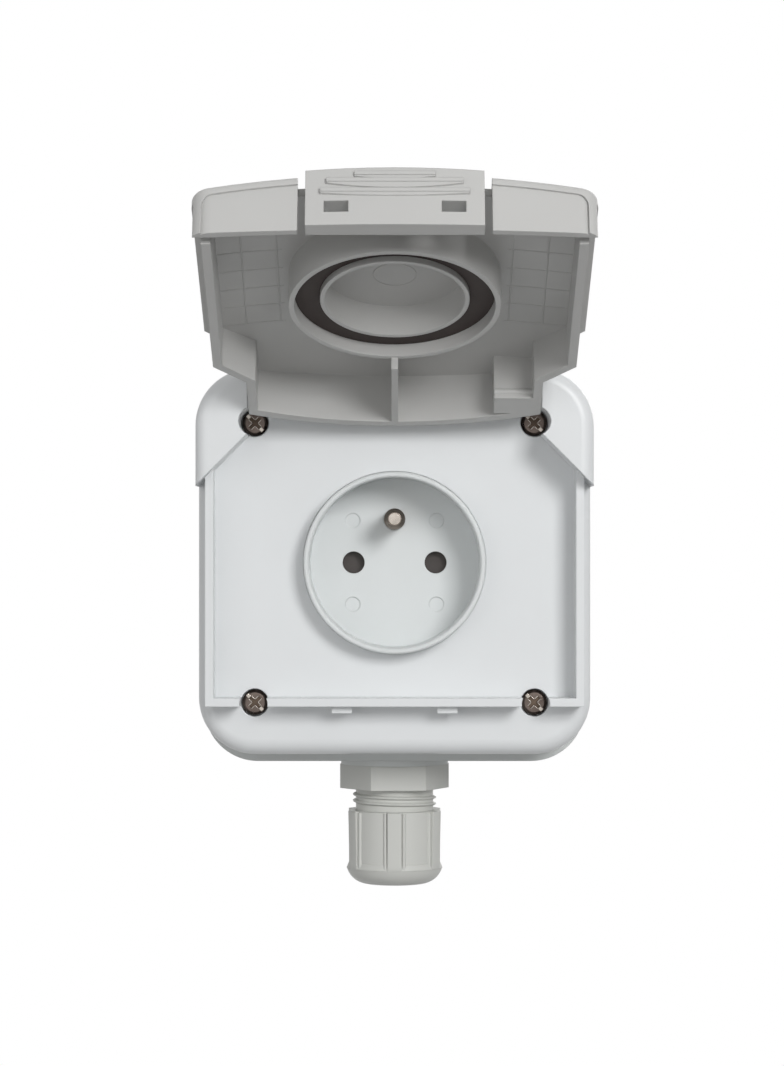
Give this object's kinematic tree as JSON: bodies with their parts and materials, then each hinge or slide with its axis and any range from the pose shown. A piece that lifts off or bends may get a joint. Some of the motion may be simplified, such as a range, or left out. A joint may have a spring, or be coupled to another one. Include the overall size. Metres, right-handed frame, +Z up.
{
  "type": "surface mounted socket",
  "caption": "Wall-mounted splash-proof power socket with a round well, an earth pin, a hinged lid with a sealing collar, and a cable gland below.",
  "frame": {"origin": "on the wall face, behind the centre of the round well", "axes": "+Z up along the wall, +X to the right seen from the front, +Y into the wall"},
  "size_m": [0.09, 0.1314, 0.1577],
  "materials": {
    "cover_plastic": "satin moulded, pale cool grey",
    "box_plastic": "satin moulded, light grey",
    "lid_plastic": "satin moulded, mid grey",
    "gland_plastic": "satin moulded, mid grey",
    "dark_rubber": "matt black rubber",
    "insulator": "matt dark moulding",
    "plated_steel": "plated steel",
    "nickel": "nickel plated",
    "brass": "rolled brass"
  },
  "bodies": {
    "housing": {"front_cover": "cover_plastic", "socket_cup": "cover_plastic", "back_box": "box_plastic", "gland_body": "gland_plastic", "gland_nut": "gland_plastic", "box_gasket": "dark_rubber", "gland_seal": "dark_rubber", "mechanism_body": "insulator", "cover_screw_top_left": "plated_steel", "cover_screw_top_right": "plated_steel", "cover_screw_bottom_left": "plated_steel", "cover_screw_bottom_right": "plated_steel", "hinge_pin_left": "plated_steel", "hinge_pin_right": "plated_steel", "live_terminal_screw": "plated_steel", "neutral_terminal_screw": "plated_steel", "earth_terminal_screw": "plated_steel", "mechanism_screw_left": "plated_steel", "mechanism_screw_right": "plated_steel", "shutter_spring": "plated_steel", "earth_pin": "nickel", "live_contact": "brass", "neutral_contact": "brass", "earth_strap": "brass", "live_terminal": "brass", "neutral_terminal": "brass", "earth_terminal": "brass"},
    "lid": {"lid": "lid_plastic", "lid_gasket": "dark_rubber"},
    "shutter": {"shutter": "insulator"}
  },
  "joints": [
    {"name": "lid_hinge", "type": "hinge", "parent": "housing", "child": "lid", "pos_m": [0, -0.0555, 0.042], "axis": [1, 0, 0], "range_deg": [0, 116]},
    {"name": "shutter_slide", "type": "slide", "parent": "housing", "child": "shutter", "axis": [0, 0, -1], "range_m": [0, 0.006], "stiffness_N_per_m": 60, "springref_m": -0.002, "deforming": ["shutter_spring"]}
  ]
}
